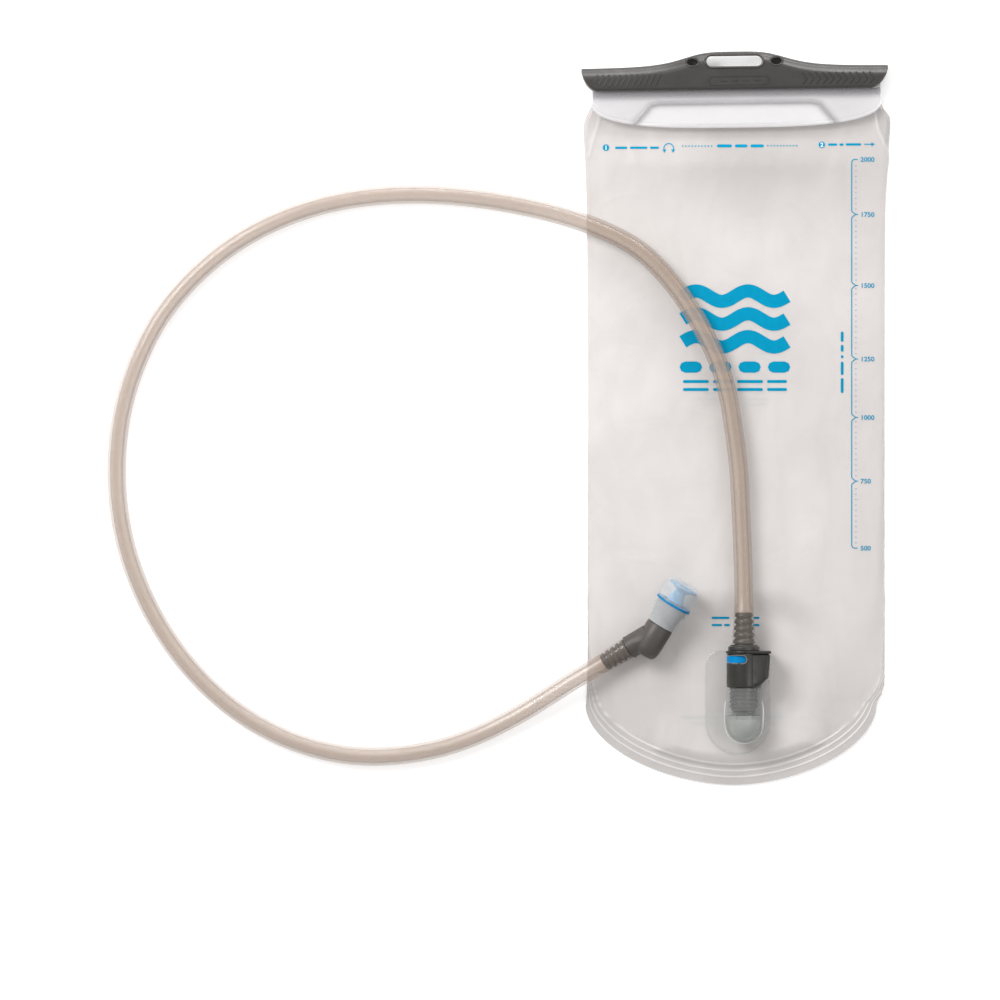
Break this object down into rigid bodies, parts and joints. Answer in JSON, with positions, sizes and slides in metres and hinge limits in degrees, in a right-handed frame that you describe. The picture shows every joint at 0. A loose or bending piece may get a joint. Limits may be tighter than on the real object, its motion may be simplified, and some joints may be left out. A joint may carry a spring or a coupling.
{
  "type": "hydration bladder",
  "caption": "Flat film water reservoir with a slide-bar top seal and hang slot, a clear elbow port with a push-button hose coupling, a long drinking hose and a twist-lock bite valve.",
  "frame": {"origin": "centre of the resting face's bounding box: under the middle of the bag and bar, on the table", "axes": "+Y towards the slide bar along the bag, +X to the right seen from the printed front, +Z out of the front"},
  "size_m": [0.3905, 0.3665, 0.0266],
  "materials": {
    "film": "frosted translucent film",
    "clear_tpu": "clear, glossy",
    "dark_grey": "fine satin texture",
    "blue": "satin",
    "pale_blue": "translucent satin",
    "hose_tpu": "translucent, smooth",
    "silicone": "frosted translucent",
    "seal": "matt",
    "spring_steel": "bright wire"
  },
  "bodies": {
    "reservoir": {"front_panel": "film", "back_panel": "film", "lip_back": "clear_tpu", "lip_front": "clear_tpu", "port_elbow": "clear_tpu", "coupling_body": "dark_grey", "coupling_cap": "dark_grey", "stem_o_ring": "seal", "poppet_spring": "spring_steel", "button_spring": "spring_steel"},
    "bar": {"slide_bar": "dark_grey"},
    "button": {"release_button": "blue"},
    "shutoff": {"poppet": "dark_grey", "poppet_seal": "seal"},
    "hose_set": {"plug": "dark_grey", "plug_o_ring": "seal", "hose": "hose_tpu", "hose_end_plug": "hose_tpu", "hose_end_valve": "hose_tpu", "bite_elbow": "dark_grey", "sleeve_o_ring": "seal"},
    "mouthpiece": {"shutoff_sleeve": "dark_grey", "bite_ring": "blue", "valve_core": "pale_blue", "bite_sheath": "silicone"}
  },
  "joints": [
    {"name": "bar_slide", "type": "slide", "parent": "reservoir", "child": "bar", "axis": [0.9999, 0.0131, 0], "range_m": [-0.165, 0]},
    {"name": "button_press", "type": "slide", "parent": "reservoir", "child": "button", "axis": [1, 0, 0], "range_m": [0, 0.002], "stiffness_N_per_m": 600, "springref_m": -0.0015, "deforming": ["button_spring"]},
    {"name": "hose_pull", "type": "slide", "parent": "reservoir", "child": "hose_set", "axis": [0, 1, 0], "range_m": [0, 0.02]},
    {"name": "poppet_close", "type": "slide", "parent": "reservoir", "child": "shutoff", "axis": [0, 1, 0], "range_m": [0, 0.0025], "deforming": ["poppet_spring"]},
    {"name": "bite_twist", "type": "hinge", "parent": "hose_set", "child": "mouthpiece", "pos_m": [-0.046, -0.1177, 0.0149], "axis": [0.5121, 0.8521, 0.108], "range_deg": [0, 90]}
  ],
  "couplings": [
    {"joint": "poppet_close", "follows": "hose_pull", "ratio": 0.125}
  ]
}
